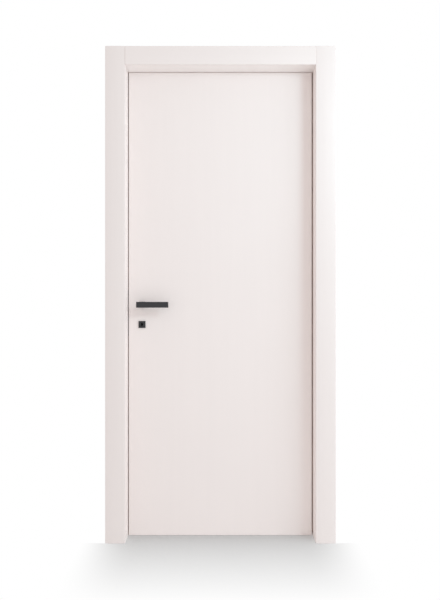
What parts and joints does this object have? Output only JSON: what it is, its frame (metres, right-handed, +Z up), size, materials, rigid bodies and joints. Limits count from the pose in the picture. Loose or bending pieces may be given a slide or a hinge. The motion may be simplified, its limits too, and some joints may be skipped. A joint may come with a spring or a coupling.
{
  "type": "interior door",
  "caption": "Flush pale interior door in its lining with flat casings, rebated leaf on barrel hinges, slim black lever and square key plate.",
  "frame": {"origin": "on the wall side of the hinge jamb, at floor level and halfway through the wall", "axes": "+X from the latch side towards the hinge side, +Y from the push side to the pull side, +Z up"},
  "size_m": [1.01, 0.1913, 2.178],
  "materials": {
    "lining_laminate": "smooth satin pale laminate",
    "casing_laminate": "smooth satin pale laminate",
    "leaf_laminate": "smooth satin pale laminate",
    "core_board": "raw board",
    "seal_rubber": "matt pale rubber",
    "black_metal": "matt black",
    "lock_steel": "satin",
    "hinge_metal": "satin nickel"
  },
  "bodies": {
    "frame": {"jamb_latch_side": "lining_laminate", "jamb_hinge_side": "lining_laminate", "jamb_head": "lining_laminate", "front_casing_latch_side": "casing_laminate", "front_casing_hinge_side": "casing_laminate", "front_casing_head": "casing_laminate", "back_casing_latch_side": "casing_laminate", "back_casing_hinge_side": "casing_laminate", "back_casing_head": "casing_laminate", "seal_latch_side": "seal_rubber", "seal_hinge_side": "seal_rubber", "seal_head": "seal_rubber", "strike_plate": "lock_steel", "hinge_1_frame_half": "hinge_metal", "hinge_2_frame_half": "hinge_metal", "hinge_3_frame_half": "hinge_metal"},
    "leaf": {"leaf_front_skin": "leaf_laminate", "leaf_back_skin": "leaf_laminate", "leaf_core": "core_board", "leaf_latch_stile": "leaf_laminate", "leaf_hinge_stile": "leaf_laminate", "leaf_top_rail": "leaf_laminate", "leaf_bottom_rail": "leaf_laminate", "lock_case": "lock_steel", "lock_face_plate": "lock_steel", "latch_bolt": "lock_steel", "dead_bolt": "lock_steel", "front_rose": "black_metal", "back_rose": "black_metal", "front_key_plate": "black_metal", "back_key_plate": "black_metal", "hinge_1_leaf_half": "hinge_metal", "hinge_2_leaf_half": "hinge_metal", "hinge_3_leaf_half": "hinge_metal"},
    "lever_set": {"front_lever": "black_metal", "back_lever": "black_metal", "spindle": "lock_steel"}
  },
  "joints": [
    {"name": "leaf_swing", "type": "hinge", "parent": "frame", "child": "leaf", "pos_m": [-0.0245, 0.0845, 0], "axis": [0, 0, -1], "range_deg": [0, 120]},
    {"name": "lever_turn", "type": "hinge", "parent": "leaf", "child": "lever_set", "pos_m": [-0.8125, 0.0425, 1.045], "axis": [0, 1, 0], "range_deg": [0, 40], "stiffness_Nm_per_rad": 1.2, "springref_deg": -34.38}
  ]
}
